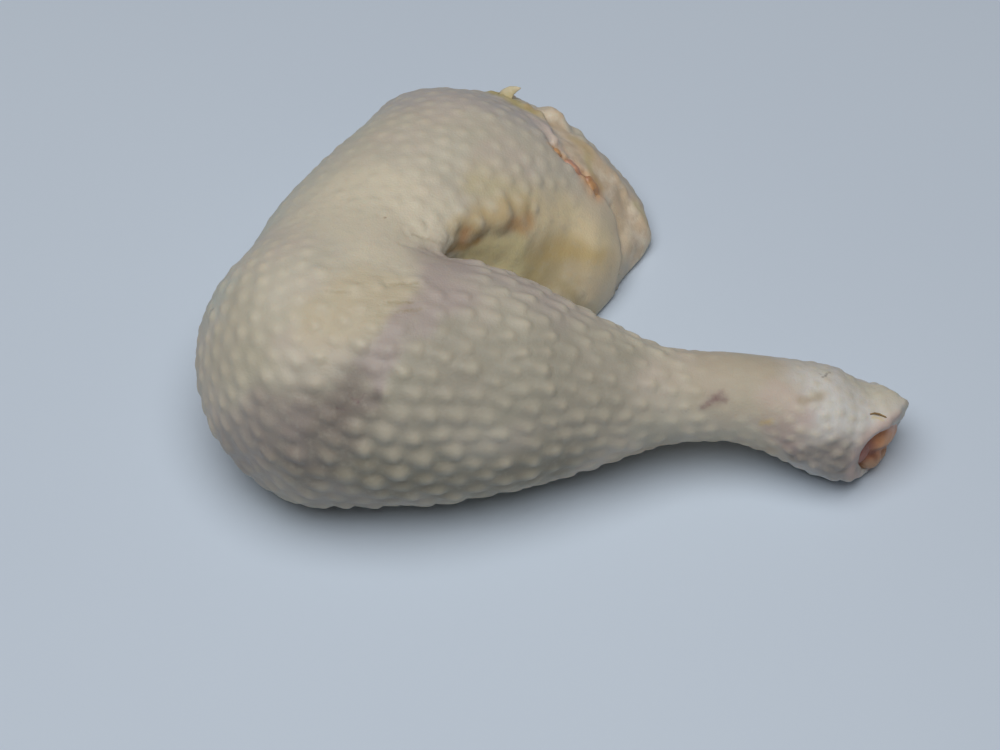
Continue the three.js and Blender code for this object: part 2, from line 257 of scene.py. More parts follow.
# Colour zones of the skin: the line that each follows, with its reach at each knot, and how soft its edge is
SKIN_ZONES = {
    "fat": ([(49, 18, 61, 12), (47, 28, 59, 15), (58, 36, 53, 11), (50, 45, 54, 12), (34, 38, 57, 14)], 0.55),
    # The fat's own yellow towards the knee, darkened as painted shade towards the front
    "fat_front_and_shade": ([(37, -8, 62.5, 9), (45, -4, 63.4, 11), (54, -3, 62.6, 9)], 0.6),
    # Partly the knee's own greenish grey, partly painted shade that darkens its front
    "knee": ([(9.3, -6.7, 46, 9), (16, -12, 53, 9), (12, 0, 54, 7)], 0.8),
    "yellowish": ([(74.6, 50.2, 48.5, 5), (80, 54, 46.6, 7), (86, 55.8, 42.8, 5)], 0.9),
    "outer": ([(5, 11, 47, 9), (6, 30, 34, 14), (14, 52, 32, 16), (30, 80, 30, 16), (50, 100, 26, 14)], 0.8),
    "wrinkled": ([(50, -8, 62, 7), (55, 4, 62, 8)], 0.8),
    "muscle": ([(36, -30, 30, 24), (66, -14, 48, 18), (96, -8, 36, 18), (116, -6, 24, 11)], 0.5),
    # Painted shade: the low front of the calf is darkened where the light falls off
    "calf_underside_painted_shade": ([(36.6, -33.6, 28, 10), (64.6, -33, 24, 10), (95.6, -24.5, 22, 8)], 0.9),
    "thin": ([
        (67, 20, 54, 7), (64.5, 8.8, 59.7, 7), (66, 3.4, 60, 6.6), (62, -3, 61, 5.4),
        (55, -13, 60.4, 4.4), (47, -20.5, 56.6, 3.6),
    ], 0.55),
    # The purple of thin skin, darkened further as painted shade on the low front
    "thin_low_purple_and_shade": ([(44, -23.4, 54, 4), (40, -25.6, 51, 6.5), (34, -28.4, 47, 9), (26, -30.4, 41, 10)], 0.9),
    "thin_side": ([(27, -28.8, 44.6, 7.5), (20, -27, 42, 8), (13, -24, 36, 9), (12, -22.4, 24, 9)], 0.7),
    "haze": ([(74, 14, 52, 9), (92, 8, 45, 8)], 0.8),
    "hip_haze": ([(56, 98, 40, 14), (84, 90, 42, 12)], 0.7),
    # Painted shade: a grey darkening over the low front of the knee and calf
    "low_front_painted_shade": ([(12, -22.4, 22, 9), (17.6, -27, 23.8, 10), (34, -34, 20, 9), (60, -33, 12, 7)], 0.8),
    "beige": ([(134, -1, 33, 9), (152, -3, 32, 10)], 0.7),
    "shank_under": ([(112, -12, 14, 6), (132, -9.5, 14.5, 6), (146, -10, 13.5, 6), (154, -13, 13, 5)], 0.8),
    "warm": ([(92.5, 54.3, 34.4, 8), (101, 55.3, 25.3, 10), (106, 58, 20, 10)], 0.7),
    "olive": ([(72, 38, 37, 5), (80, 41.3, 32, 7), (87, 42.4, 25.5, 9)], 0.5),
    "khaki": ([(92.6, 43.4, 20.4, 8), (97, 43.5, 17.4, 8.5), (102.5, 43, 12, 8), (104, 44, 5, 8)], 0.6),
    "flap_foot": ([(104.5, 45, 12.5, 5), (108.3, 48.4, 11, 6), (112, 53.4, 9, 6)], 0.8),
    "brown_band": ([
        (89.7, 45.9, 29.3, 3), (96.8, 49.8, 24.2, 4), (104, 51.6, 21, 4.4), (111, 55, 15, 3),
    ], 0.8),
    "lip": ([(70, 36.5, 48, 3), (74.6, 40.8, 45.8, 4), (80, 44.8, 43.2, 4), (86, 50, 40, 4)], 0.8),
    # A brown tint along the fold under the lip, darkened as painted shadow of the lip
    "fold_brown_and_shade": ([(66.5, 33, 44, 1.8), (70.6, 36.7, 41.4, 2.4), (74, 39.5, 40, 1.6)], 0.7),
    "ember": ([(72, 37.3, 45.6, 2.0), (71.4, 37, 44, 2.0), (71.6, 37, 43, 1.6)], 0.7),
    "ember_far": ([(83.3, 45, 39.8, 2.2), (86.9, 46.6, 36.5, 2.6), (88.6, 49.6, 36.4, 2.2)], 0.7),
    "membrane": ([
        (95, 97, 31, 6), (103, 83, 31.5, 7), (109, 79.7, 26.5, 8), (118, 74, 14, 8), (121, 69, 4, 8),
    ], 0.4),
    "fat_streak": ([
        (102.5, 89, 29.8, 2.4), (105.3, 84.5, 29, 2.6), (106.6, 78, 28.8, 1.9), (108.8, 73.5, 26.3, 2),
    ], 0.7),
    "rim_fat": ([(119.5, 79, 12.5, 1.6), (121.4, 78.4, 10.5, 2), (122.6, 75.8, 8.2, 1.8)], 0.8),
    "sinew": ([(113.6, 70.6, 19.4, 3), (115, 68, 16, 4), (116, 63, 9, 4)], 0.6),
    "greenish": ([
        (77, 107, 31, 2.6), (81.7, 102.2, 33.5, 3.4), (86.4, 97.5, 34.8, 3.2), (90.9, 93.7, 34.8, 2),
    ], 0.6),
    "stain": ([
        (93.5, 77, 40.5, 1), (96.4, 76.4, 38.2, 2.4), (98.7, 75.6, 36.3, 1.4), (102.4, 74.2, 32.9, 2.4),
        (106.2, 72.2, 28.8, 4), (108, 70.5, 26.6, 2.6),
    ], 0.9),
    "raw": ([(91, 87, 38, 2.6), (95, 81, 38, 3.6), (102, 74, 33, 3.4), (108.5, 70.4, 26.2, 2.4)], 0.8),
    "hock": ([(162, -5, 22, 12), (172, -6, 16, 19), (190, -6, 14, 19)], 0.4),
    "hock_white": ([
        (163, -0.8, 31, 4), (167, -3.7, 30.3, 5.4), (171, -8.7, 28, 5.4), (173.5, -11.6, 25.3, 4),
    ], 0.7),
    # Painted shade: the underside of the hock is darkened, a shaded copy of the hock's white
    "hock_under_painted_shade": ([(159, -17, 17, 5), (166, -18.4, 17, 7), (172, -18.6, 13, 7)], 0.7),
    "hock_crest": ([(176, 1, 24.6, 4.6), (184, -2.4, 24, 5), (189, -1, 20, 5)], 0.6),
    "rosy": ([(152, -8, 31.3, 3), (157.4, -11.6, 28.7, 4.2), (160, -12.8, 27.7, 3.2)], 0.8),
    # A pink tint low on the ankle, darkened as painted shade on the lower front, a darker copy of the rosy
    # zone
    "blush_and_shade": ([(151, -13.3, 25.4, 4), (154.5, -15, 22.6, 5.5), (157.6, -15.7, 22, 4)], 0.7),
    "tan": ([(158.6, -9.2, 30.6, 1.4), (161.6, -8.6, 30.8, 1.0), (164.8, -7.4, 30.5, 1.6)], 0.8),
    "bruise": ([(133.6, -10.2, 29, 1.0), (136.6, -8.6, 30.8, 1.9), (139, -8.2, 31, 1.0)], 0.9),
    "pink_rim": ([
        (178, -15, 3, 2), (174, -18, 10, 2), (174.7, -17.8, 16.2, 2.4), (177.7, -14.1, 20.9, 2.6),
        (180.4, -12.3, 22.1, 2.4), (184.9, -8.6, 23.3, 1.6),
    ], 0.7),
}
# Zones where the skin is uneven: how high its lumps stand, and how wide they are
UNEVEN_ZONES = {
    "membrane": (0.24, 4.6),
    "lip": (0.38, 5.6),
    "olive": (0.14, 6.0),
    "khaki": (0.14, 6.0),
    "warm": (0.12, 6.0),
    "raw": (0.25, 3.2),
    "hock": (0.06, 2.2),
    # the underside of the hock, where shade is painted, is also lumpy
    "hock_under_painted_shade": (0.26, 1.7),
}
# Edges of the zones waver by a share of their reach, up to a height
WARP_SHARE = 0.25
WARP_HEIGHT = 1.6
WARP_SPAN = 7.0
CRINKLE_HEIGHT = 0.5
CRINKLE_SPAN = 4.0

# Fine marks in the skin: where each starts and ends, its width, its colour's name and how strongly it shows
MARKS = [
    ((38.9, -26.7, 49.2), (41.4, -27.2, 48.8), 0.6, "vein", 0.6),
    ((42.8, -25.5, 51.4), (44.3, -26.3, 50.7), 0.6, "vein", 0.6),
    ((44.3, -26.3, 50.7), (46.4, -24.6, 52.4), 0.5, "vein", 0.5),
    ((135, -9.4, 30), (138.2, -7.4, 31.8), 1.3, "bruise", 0.45),
    ((136.4, -8.6, 30.8), (139.2, -9.2, 30.2), 1.1, "bruise", 0.4),
    ((133.2, -10.3, 29.2), (136.4, -8.8, 30.6), 1.0, "bruise", 0.35),
    ((148.9, -13, 25.8), (151, -13.1, 26.4), 1.3, "yellow", 0.5),
    ((167.3, 1.1, 29.5), (165.4, -1.3, 30.7), 0.5, "pit", 0.7),
    ((166.4, -0.4, 30.4), (164.6, 0.0, 30.6), 0.4, "pit", 0.5),
    ((178.6, -9.6, 24.1), (181.2, -10.1, 23.6), 0.8, "yellow", 0.6),
    ((49.5, 32.7, 55.9), (49.7, 32.8, 55.9), 0.55, "speck", 0.8),
    ((45.2, 46.6, 53.4), (45.4, 46.5, 53.4), 0.5, "speck", 0.7),
    ((5, 7.1, 47.6), (5.2, 7.2, 47.6), 0.7, "speck", 0.8),
    ((101.1, 59.1, 26.6), (101.4, 59, 26.4), 0.9, "speck", 0.3),
    # Crease marks: darker lines along the grooves of the wrinkles and creases, painted shade in them
    ((52, -3.6, 62.9), (57.6, -2.7, 62.1), 0.9, "crease", 0.5),
    ((52, 2.6, 63), (59, 4.2, 61.6), 0.8, "crease", 0.45),
    ((54, -6.2, 62.4), (59.7, -4.6, 61.6), 0.9, "crease", 0.5),
    ((36, -0.6, 63.7), (42, -1.2, 63.8), 0.8, "crease", 0.3),
    ((58.9, 24, 53.9), (65.3, 28.1, 48.3), 0.9, "crease", 0.4),
    ((57, 28.6, 54), (65.8, 29.9, 48.4), 0.9, "crease", 0.4),
]


def unit(vector):
    return vector / np.linalg.norm(vector, axis=-1, keepdims=True)


CUT_NORMAL = unit(CUT_NORMAL)
KNUCKLE_LINE = unit(KNUCKLE_LINE)


def smooth_step(low, high, value):
    share = np.clip((value - low) / (high - low), 0, 1)
    return share * share * (3 - 2 * share)


def join(a, b, reach):
    """The lower of two fields, rounded over where they are closer than the reach."""
    near = np.maximum(reach - np.abs(a - b), 0) / reach
    return np.minimum(a, b) - near * near * reach / 4


def carve(a, b, reach):
    return -join(-a, b, reach)


def along(stations, column, place):
    """A smooth curve through one column of a limb's stations."""
    at = stations[:, 0]
    values = stations[:, column]
    slopes = np.zeros(len(at))
    slopes[1:-1] = (values[2:] - values[:-2]) / (at[2:] - at[:-2])
    held = np.clip(place, at[0], at[-1])
    low = np.clip(np.searchsorted(at, held, side="right") - 1, 0, len(at) - 2)
    span = at[low + 1] - at[low]
    t = (held - at[low]) / span
    rest = 1 - t
    start = (1 + 2 * t) * rest * rest * values[low] + t * rest * rest * span * slopes[low]
    end = t * t * (3 - 2 * t) * values[low + 1] - t * t * rest * span * slopes[low + 1]
    return start + end


def oval_distance(offsets, half_sizes):
    squares = sum((offset / half) ** 2 for offset, half in zip(offsets, half_sizes))
    steepness = sum((offset / half ** 2) ** 2 for offset, half in zip(offsets, half_sizes))
    size = np.sqrt(squares) + TINY
    return (size - 1) * size / (np.sqrt(steepness) + TINY)


def turned(points, origin, heading):
    """Offsets from an origin in plan, forward along a heading and to its left."""
    angle = np.radians(heading)
    dx = points[..., 0] - origin[0]
    dy = points[..., 1] - origin[1]
    return dx * np.cos(angle) + dy * np.sin(angle), dy * np.cos(angle) - dx * np.sin(angle)


def limb(points, shape):
    """A level tube of oval section with a rounded cap at each end."""
    stations = shape["stations"]
    place, left = turned(points, shape["start"], shape["heading"])
    before = np.maximum(stations[0, 0] - place, 0)
    beyond = np.maximum(place - shape["far_from"], 0)
    half_width, half_height, sway, height = (along(stations, column, place) for column in (1, 2, 3, 4))
    offsets = (left - sway, points[..., 2] - height, before, beyond)
    return oval_distance(offsets, (half_width, half_height, shape["near_cap"], shape["far_cap"]))


def lump(points, shape):
    forward, left = turned(points, shape["centre"], shape["heading"])
    return oval_distance((forward, left, points[..., 2] - shape["centre"][2]), shape["half_size"])


def segment(points, start, end):
    """How far along a straight line each point lies, from 0 to 1, and its distance from that line."""
    line = np.asarray(end, float) - start
    share = np.clip((points - start) @ line / (line @ line), 0, 1)
    return share, np.linalg.norm(points - start - share[..., None] * line, axis=-1)


def line_distance(points, knots):
    """Distance from each point to the line through the knots."""
    gaps = [segment(points, start, end)[1] for start, end in zip(knots[:-1], knots[1:])]
    return np.min(gaps, axis=0)


def line_reach(points, knots):
    """Distance to the line through the knots, counted in the reach that the line has there."""
    nearest = np.full(len(points), np.inf)
    for start, end in zip(knots[:-1], knots[1:]):
        share, gap = segment(points, start[:3], end[:3])
        nearest = np.minimum(nearest, gap / (start[3] + share * (end[3] - start[3])))
    return nearest


def side_distance(points, knots):
    """Distance to the line through the knots, below zero on its right in plan."""
    nearest = np.full(len(points), np.inf)
    side = np.ones(len(points))
    for start, end in zip(knots[:-1], knots[1:]):
        ahead = np.subtract(end, start)
        gap = segment(points, start, end)[1]
        turn = ahead[0] * (points[:, 1] - start[1]) - ahead[1] * (points[:, 0] - start[0])
        side = np.where(gap < nearest, np.sign(turn), side)
        nearest = np.minimum(nearest, gap)
    return side * nearest


def valley(points):
    return VALLEY_DEPTH * np.exp(-(line_distance(points, (VALLEY_FROM, VALLEY_TO)) / VALLEY_WIDTH) ** 2)


def swell(points):
    scaled = points / SWELL_SPAN
    lengthwise = np.sin(scaled @ SWELL_ALONG) * np.cos(scaled @ SWELL_UP)
    return SWELL_HEIGHT * (lengthwise + np.sin(scaled @ SWELL_ACROSS))


def cut_frame():
    """The cut's own axes: outwards, along the two knuckles, and across them."""
    side = unit(KNUCKLE_LINE - (KNUCKLE_LINE @ CUT_NORMAL) * CUT_NORMAL)
    return np.array([CUT_NORMAL, side, np.cross(CUT_NORMAL, side)])


def sawn_drumstick(points):
    offsets = (points - CUT_POINT) @ cut_frame().T
    whole = limb(points, DRUMSTICK)
    tongue = smooth_step(*TONGUE_ALONG, offsets[..., 1]) * smooth_step(*TONGUE_ACROSS, offsets[..., 2])
    sawn = carve(whole, TONGUE_LENGTH * tongue - offsets[..., 0], RIM_BLEND)
    sawn = carve(sawn, (TIP_POINT - points) @ TIP_NORMAL, TIP_BLEND)
    recess = oval_distance(np.moveaxis(offsets - RECESS_CENTRE, -1, 0), RECESS_RADII)
    return carve(sawn, recess, RIM_BLEND)


def beyond_flap_edge(points):
    return (FLAP_EDGE_POINT - points[..., :2]) @ FLAP_EDGE_OUT


def thigh(points):
    flap = carve(lump(points, HIP_FLAP), lump(points, FLAP_DISH), DISH_BLEND)
    flap = carve(flap, beyond_flap_edge(points), EDGE_BLEND)
    body = join(limb(points, THIGH), flap, FLAP_BLEND)
    return carve(body, lump(points, CROOK_HOLLOW), HOLLOW_BLEND)


def leg_field(points):
    share = smooth_step(CREASE_FROM, CREASE_TO, points[..., 0])
    reach = KNEE_BLEND + (CREASE_BLEND - KNEE_BLEND) * share
    flesh = join(sawn_drumstick(points), thigh(points), reach)
    return carve(flesh + valley(points) - swell(points), points[..., 2], FLOOR_BLEND)


def slope(field, points):
    steps = SLOPE_STEP * np.eye(3)
    return np.stack([(field(points + s) - field(points - s)) / (2 * SLOPE_STEP) for s in steps], axis=-1)


def settle(field, points, rounds):
    """Moves points onto the surface where the field is zero."""
    for _ in range(rounds):
        steep = slope(field, points)
        points = points - steep * (field(points) / (np.sum(steep ** 2, axis=-1) + TINY))[..., None]
    return points


def net_quads(inside, number):
    """Four cells round each edge of the grid that the surface crosses, wound to face outwards."""
    quads = []
    for axis in range(3):
        turned_grid = np.moveaxis(inside, (axis, (axis + 1) % 3, (axis + 2) % 3), (0, 1, 2))
        cells = np.moveaxis(number, (axis, (axis + 1) % 3, (axis + 2) % 3), (0, 1, 2))
        near = turned_grid[:-1, 1:-1, 1:-1]
        far = turned_grid[1:, 1:-1, 1:-1]
        a, b, c = np.nonzero(near != far)
        corners = [cells[a, b, c], cells[a, b + 1, c], cells[a, b + 1, c + 1], cells[a, b, c + 1]]
        ring = np.stack(corners, axis=1)
        inward = far[a, b, c]
        ring[inward] = ring[inward][:, ::-1]
        quads.append(ring)
    return np.concatenate(quads)


def even_out(field, points, quads):
    """Slides the knots of a net towards the middle of their neighbours, along the surface."""
    pairs = np.concatenate([quads[:, [k, (k + 1) % 4]] for k in range(4)])
    pairs = np.concatenate([pairs, pairs[:, ::-1]])
    count = np.bincount(pairs[:, 0], minlength=len(points))
    for _ in range(EVEN_ROUNDS):
        sums = [np.bincount(pairs[:, 0], points[pairs[:, 1], k], len(points)) for k in range(3)]
        points = settle(field, np.stack(sums, axis=1) / count[:, None], 1)
    return points


def surface_net(field, low, high, cell):
    """A net of quads over the surface where the field is zero."""
    axes = [np.arange(low[k], high[k] + cell, cell) for k in range(3)]
    plane = np.stack(np.meshgrid(axes[1], axes[2], indexing="ij"), axis=-1)
    values = np.empty([len(axis) for axis in axes], np.float32)
    for i, x in enumerate(axes[0]):
        values[i] = field(np.concatenate([np.full(plane.shape[:2] + (1,), x), plane], axis=-1))
    inside = values < 0
    corners = sum(
        inside[i:len(axes[0]) - 1 + i, j:len(axes[1]) - 1 + j, k:len(axes[2]) - 1 + k].astype(np.int8)
        for i in (0, 1) for j in (0, 1) for k in (0, 1)
    )
    crossed = (corners > 0) & (corners < CELL_CORNERS)
    number = np.full(crossed.shape, -1)
    number[crossed] = np.arange(np.count_nonzero(crossed))
    middles = low + (np.argwhere(crossed) + MIDDLE) * cell
    quads = net_quads(inside, number)
    points = settle(field, middles, SETTLE_ROUNDS)
    return even_out(field, points, quads), quads


def waves(points, span, seed):
    """Smooth random waves between about -1 and 1, as wide as the span."""
    draw = np.random.default_rng(seed)
    total = np.zeros(points.shape[:-1])
    for _ in range(WAVE_COUNT):
        direction = draw.normal(size=3) / span
        total += np.sin(points @ direction * WAVE_PITCH + draw.uniform(0, 2 * np.pi))
    return total / np.sqrt(WAVE_COUNT / 2)


def drift(points, span, seed):
    """A shift of each point that wavers from place to place, one wave for each axis."""
    return np.stack([waves(points, span, seed + axis) for axis in range(3)], axis=1)


def nearness(points, places):
    """How much each of some places counts at each point, the nearest one the most."""
    gaps = np.linalg.norm(points[:, None] - places[None], axis=-1) + 1
    share = gaps ** -REGION_SHARPNESS
    return share / share.sum(axis=1, keepdims=True)


def follicle_sizes(points):
    """Spacing along and across, height, tail, tip and half width of the follicles at each point."""
    places = np.array([region[0] for region in FOLLICLE_REGIONS.values()], float)
    sizes = np.array([region[1:] for region in FOLLICLE_REGIONS.values()], float)
    return nearness(points, places) @ sizes


def feather_lie(points, normals):
    """The direction along the skin in which the feathers lay."""
    places = np.array([place for place, _ in LIE_AT.values()], float)
    directions = np.array([direction for _, direction in LIE_AT.values()], float)
    lie = nearness(points, places) @ directions
    return unit(lie - np.sum(lie * normals, axis=1, keepdims=True) * normals)


def smoothness(points):
    """1 where the skin shows no follicles, 0 where they stand full."""
    smooth = np.zeros(len(points))
    for place, reach, share in SMOOTH_PLACES:
        gap = np.linalg.norm(points - np.array(place, float), axis=1)
        fade = smooth_step(SMOOTH_INNER * reach, SMOOTH_OUTER * reach, gap)
        smooth = np.maximum(smooth, share * (1 - fade))
    low = 1 - smooth_step(*FOLLICLE_LOWEST, points[:, 2])
    return np.maximum(smooth, low)


def spaced_gaps(points, lie, sizes, others):
    """Distance to other points counted in follicle spacings, along and across the lie."""
    offset = others - points[:, None]
    forward = np.sum(offset * lie[:, None], axis=-1)
    across = np.sqrt(np.maximum(np.sum(offset ** 2, axis=-1) - forward ** 2, 0))
    return np.sqrt((forward / sizes[:, :1]) ** 2 + (across / sizes[:, 1:2]) ** 2)


def scatter_follicles(points, normals, draw):
    """Follicle centres on the skin, an even spacing apart."""
    tries = draw.choice(len(points), FOLLICLE_TRIES, replace=False)
    lie = feather_lie(points[tries], normals[tries])
    sizes = follicle_sizes(points[tries])
    kept = []
    for k in range(len(tries)):
        this = slice(k, k + 1)
        others = points[tries[kept]][None]
        if not kept or spaced_gaps(points[tries[this]], lie[this], sizes[this], others).min() > SCATTER_GAP:
            kept.append(k)
    return points[tries[kept]]


def relax_follicles(centres):
    """Pushes follicle centres apart until they stand in even, staggered rows."""
    for _ in range(RELAX_ROUNDS):
        normals = unit(slope(leg_field, centres))
        lie = feather_lie(centres, normals)
        sizes = follicle_sizes(centres)
        gaps = spaced_gaps(centres, lie, sizes, centres[None])
        np.fill_diagonal(gaps, np.inf)
        push = np.maximum(EVEN_GAP - gaps, 0)
        away = centres[:, None] - centres[None]
        away /= np.linalg.norm(away, axis=-1, keepdims=True) + TOUCHING
        shift = np.sum(push[..., None] * away, axis=1) * RELAX_STEP * sizes[:, 1:2]
        centres = settle(leg_field, centres + shift, RELAX_SETTLES)
    return centres


def swung(lie, normals, draw):
    """Directions turned a little to either side within the skin."""
    angle = draw.normal(0, FOLLICLE_SWING, (len(lie), 1))
    return lie * np.cos(angle) + np.cross(normals, lie) * np.sin(angle)


def follicle_relief(points, normals):
    """Height of the follicles at each knot of the skin, and how much of a follicle's pale head lies there."""
    draw = np.random.default_rng(FOLLICLE_SEED)
    centres = relax_follicles(scatter_follicles(points, normals, draw))
    centre_normals = unit(slope(leg_field, centres))
    lie = swung(feather_lie(centres, centre_normals), centre_normals, draw)
    growth = draw.normal(1, SIZE_SPREAD, (len(centres), 1)).clip(*SIZE_LIMITS)
    sizes = follicle_sizes(centres) * growth
    fullness = draw.normal(1, STRENGTH_SPREAD, len(centres)).clip(*STRENGTH_LIMITS)
    strength = (1 - smoothness(centres)) * fullness
    tree = kdtree.KDTree(len(points))
    for k, point in enumerate(points):
        tree.insert(point, k)
    tree.balance()
    height = np.zeros(len(points))
    head = np.zeros(len(points))
    for k, centre in enumerate(centres):
        tall, tail, front, half = sizes[k, 2:]
        near = np.array([index for _, index, _ in tree.find_range(centre, TAIL_REACH * tail)])
        if len(near) == 0:
            continue
        offset = points[near] - centre
        forward = offset @ lie[k]
        across = offset @ np.cross(centre_normals[k], lie[k])
        run = np.where(forward > 0, forward / front, forward / tail)
        form = np.exp(-(run ** 2 + (across / half) ** 2) ** FOLLICLE_ROUND) * strength[k]
        pale = np.exp(-(forward / front / HEAD_LENGTH) ** 2 - (across / half) ** 2) * strength[k]
        height[near] = np.maximum(height[near], tall * form)
        head[near] = np.maximum(head[near], pale)
    return height, head


def fold_relief(points):
    """Height of the folds, slits and rims, with wavering lines."""
    wandered = points + CRINKLE_HEIGHT * drift(points, CRINKLE_SPAN, CRINKLE_SEED)
    height = np.zeros(len(points))
    for knots, half, tall in RELIEF_LINES.values():
        height += tall * np.exp(-(line_distance(wandered, knots) / half) ** 2)
    beyond = side_distance(wandered, SKIN_EDGE)
    drop = smooth_step(-EDGE_SOFT, EDGE_SOFT, beyond) * (1 - smooth_step(*EDGE_REACH, beyond))
    return height - EDGE_DROP * drop


def uneven_relief(points, shares):
    """Height of the lumps in the zones where the skin is uneven."""
    height = np.zeros(len(points))
    for number, (name, (tall, span)) in enumerate(UNEVEN_ZONES.items()):
        height += tall * shares[name] * waves(points, span, UNEVEN_SEED + number)
    return height


def zone_shares(points, colour_zones):
    """How much of each colour zone lies at each point, with wavering edges."""
    shift = drift(points, WARP_SPAN, WARP_SEED)
    shares = {}
    for name, (knots, softness) in colour_zones.items():
        reach = np.mean([knot[3] for knot in knots])
        wandered = points + min(WARP_HEIGHT, WARP_SHARE * reach) * shift
        shares[name] = 1 - smooth_step(1 - softness, 1 + softness, line_reach(wandered, knots))
    return shares


def to_frame(points):
    return (points - PLAN_CENTRE) * MM


def frame_place(place):
    return tuple(to_frame(np.array(place, float)).tolist())


def placed(name, data):
    """A new object in the scene for a mesh, a lamp or a camera."""
    thing = bpy.data.objects.new(name, data)
    bpy.context.scene.collection.objects.link(thing)
    return thing


def mesh_piece(name, points, faces, attributes, material):
    """An object from points in millimetres, with values at its points for the material to read."""
    mesh = bpy.data.meshes.new(name)
    mesh.from_pydata(to_frame(points).tolist(), [], [list(face) for face in faces])
    mesh.polygons.foreach_set("use_smooth", np.ones(len(faces), bool))
    for key, values in attributes.items():
        layer = mesh.attributes.new(key, "FLOAT", "POINT")
        layer.data.foreach_set("value", values.astype(np.float32))
    mesh.validate()
    mesh.materials.append(material)
    return placed(name, mesh)


def leg_skin(material):
    points, quads = surface_net(leg_field, NET_LOW, NET_HIGH, SKIN_CELL)
    normals = unit(slope(leg_field, points))
    height, head = follicle_relief(points, normals)
    shares = zone_shares(points, SKIN_ZONES)
    raised = points + normals * (height + fold_relief(points) + uneven_relief(points, shares))[:, None]
    raised[:, 2] = np.where(points[:, 2] < FLAT_BELOW, 0, np.maximum(raised[:, 2], 0))
    attributes = {"follicle": height, "head": head, **shares}
    return mesh_piece("leg_skin", raised, quads, attributes, material)


# The usual curve from steps of a paint colour to linear light: a straight foot, then a power
PAINT_STEPS = 255
FOOT_END = 0.04045
FOOT_DIVISOR = 12.92
CURVE_SHIFT = 0.055
CURVE_POWER = 2.4


def swatch(red, green, blue):
    """A paint colour given in the usual 0 to 255 steps, as linear light."""
    steps = np.array([red, green, blue]) / PAINT_STEPS
    curve = ((steps + CURVE_SHIFT) / (1 + CURVE_SHIFT)) ** CURVE_POWER
    linear = np.where(steps <= FOOT_END, steps / FOOT_DIVISOR, curve)
    return (*linear.tolist(), 1.0)


# CREAM on the follicles and VALLEY_OLIVE between them: the olive is partly the skin's own colour, partly
# painted shade in the valleys between the bumps. VALLEY_OLIVE also tints the specks.
CREAM = swatch(205, 199, 183)
VALLEY_OLIVE = swatch(186, 181, 164)
CARTILAGE = swatch(212, 146, 98)
MARROW_RED = swatch(172, 110, 80)
MEAT_ORANGE = swatch(204, 160, 116)
MEAT_DEEP = swatch(186, 142, 100)
SHRED_YELLOW = swatch(200, 188, 140)
SHRED_PALE = swatch(208, 198, 172)
QUILL_BROWN = swatch(112, 88, 52)
QUILL_TAN = swatch(152, 126, 80)
BLOTCH_BROWN = swatch(188, 160, 124)
ROSE_TINT = swatch(196, 178, 172)
TABLE_BLUE = swatch(202, 215, 229)
TABLE_GREY = swatch(198, 211, 226)

# Colours laid over the skin by zone, lowest first, with the share that each takes
SKIN_LAYERS = {
    "outer": (swatch(184, 193, 184), 0.6),
    # partly the knee's own greenish grey, partly painted shade on its front
    "knee": (swatch(180, 175, 155), 0.6),
    "yellowish": (swatch(200, 188, 146), 0.6),
    "fat": (swatch(216, 208, 186), 0.8),
    # the fat's own yellow, darkened as painted shade towards the front
    "fat_front_and_shade": (swatch(194, 182, 154), 0.75),
    "muscle": (swatch(156, 152, 138), 0.8),
    # painted shade on the low front of the calf, a darker copy of the muscle colour
    "calf_underside_painted_shade": (swatch(118, 113, 97), 0.75),
    "haze": (swatch(168, 158, 156), 0.6),
    "hip_haze": (swatch(178, 173, 174), 0.65),
    "beige": (swatch(180, 169, 149), 0.75),
    "shank_under": (swatch(170, 148, 112), 0.5),
    "membrane": (swatch(230, 215, 191), 0.8),
    "fat_streak": (swatch(200, 184, 138), 0.75),
    "warm": (swatch(230, 212, 170), 0.75),
    "olive": (swatch(226, 214, 166), 0.85),
    "khaki": (swatch(170, 154, 114), 0.8),
    "brown_band": (swatch(188, 166, 116), 0.75),
    # painted shade over the low front of the knee and calf
    "low_front_painted_shade": (swatch(170, 162, 156), 0.5),
    "sinew": (swatch(220, 205, 179), 0.8),
    "rim_fat": (swatch(206, 194, 142), 0.6),
    "raw": (swatch(226, 206, 196), 0.6),
    "stain": (swatch(208, 160, 104), 0.8),
    "flap_foot": (swatch(218, 202, 172), 0.8),
    "greenish": (swatch(184, 172, 122), 0.95),
    "lip": (swatch(202, 176, 118), 0.65),
    # brown tint of the fold, darkened as painted shadow under the lip
    "fold_brown_and_shade": (swatch(186, 148, 84), 0.8),
    "ember": (swatch(206, 160, 116), 0.75),
    "ember_far": (swatch(206, 164, 112), 0.75),
    "hock": (swatch(203, 201, 199), 0.9),
    "hock_white": (swatch(217, 217, 213), 0.6),
    # painted shade under the hock
    "hock_under_painted_shade": (swatch(136, 126, 119), 0.82),
    "hock_crest": (swatch(200, 195, 176), 0.75),
    "rosy": (swatch(198, 178, 170), 0.6),
    # pink tint darkened as painted shade on the lower front
    "blush_and_shade": (swatch(172, 152, 146), 0.7),
    "tan": (swatch(166, 150, 126), 0.75),
    "head": (swatch(202, 195, 175), 0.5),
    "thin": (swatch(174, 162, 158), 0.75),
    # purple of thin skin, darkened further as painted shade on the low front
    "thin_low_purple_and_shade": (swatch(122, 112, 107), 0.75),
    "thin_side": (swatch(162, 153, 147), 0.6),
    "bruise": (swatch(140, 118, 118), 0.45),
    "pink_rim": (swatch(204, 182, 172), 0.8),
}
